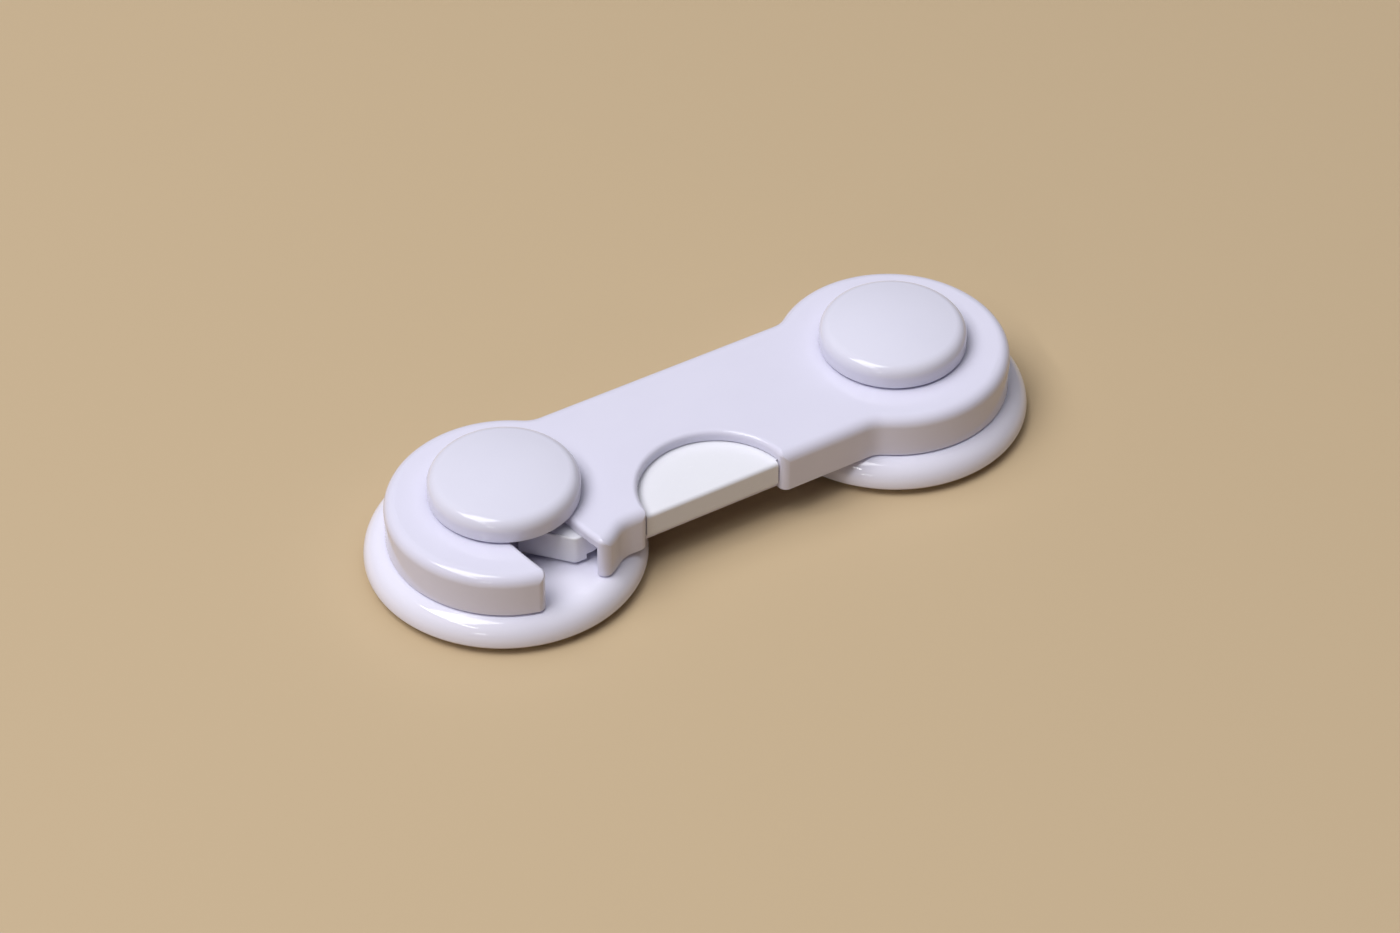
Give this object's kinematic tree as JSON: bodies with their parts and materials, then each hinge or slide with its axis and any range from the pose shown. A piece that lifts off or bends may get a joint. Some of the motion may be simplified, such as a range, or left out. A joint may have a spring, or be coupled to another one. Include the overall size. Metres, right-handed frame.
{
  "type": "cabinet safety lock",
  "caption": "Bone-shaped cabinet child lock: a hollow arm swings on one adhesive post and hooks over a second; a press pad draws the latch bolt back.",
  "frame": {"origin": "on the pivot post's axis, in the plane of the adhesive faces", "axes": "+X runs from the catch post to the pivot post, +Z leaves the door, and the slot and the finger notch open towards -Y"},
  "size_m": [0.104, 0.0406, 0.0168],
  "materials": {
    "shell_plastic": "glossy moulded ABS, white with a faint lavender cast",
    "latch_plastic": "satin acetal, a purer white than the shell",
    "foam": "soft closed-cell adhesive foam",
    "screw_steel": "zinc-plated steel",
    "spring_steel": "bright spring wire"
  },
  "bodies": {
    "bases": {"pivot_base": "shell_plastic", "catch_base": "shell_plastic", "pivot_cap": "shell_plastic", "catch_cap": "shell_plastic", "pivot_screw": "screw_steel", "catch_screw": "screw_steel", "pivot_pad": "foam", "catch_pad": "foam"},
    "arm": {"arm_shell": "shell_plastic", "arm_cover": "shell_plastic", "cover_screws": "screw_steel", "latch_spring": "spring_steel"},
    "button": {"press_button": "latch_plastic"},
    "bolt": {"latch_bolt": "latch_plastic"}
  },
  "joints": [
    {"name": "arm_swing", "type": "hinge", "parent": "bases", "child": "arm", "pos_m": [0, 0, 0], "axis": [0, 0, -1], "range_deg": [0, 340]},
    {"name": "button_press", "type": "slide", "parent": "arm", "child": "button", "axis": [0, 1, 0], "range_m": [0, 0.005]},
    {"name": "bolt_draw", "type": "slide", "parent": "arm", "child": "bolt", "axis": [1, 0, 0], "range_m": [0, 0.0058], "stiffness_N_per_m": 250, "springref_m": -0.004, "deforming": ["latch_spring"]}
  ],
  "couplings": [
    {"joint": "bolt_draw", "follows": "button_press", "ratio": 1.16}
  ]
}
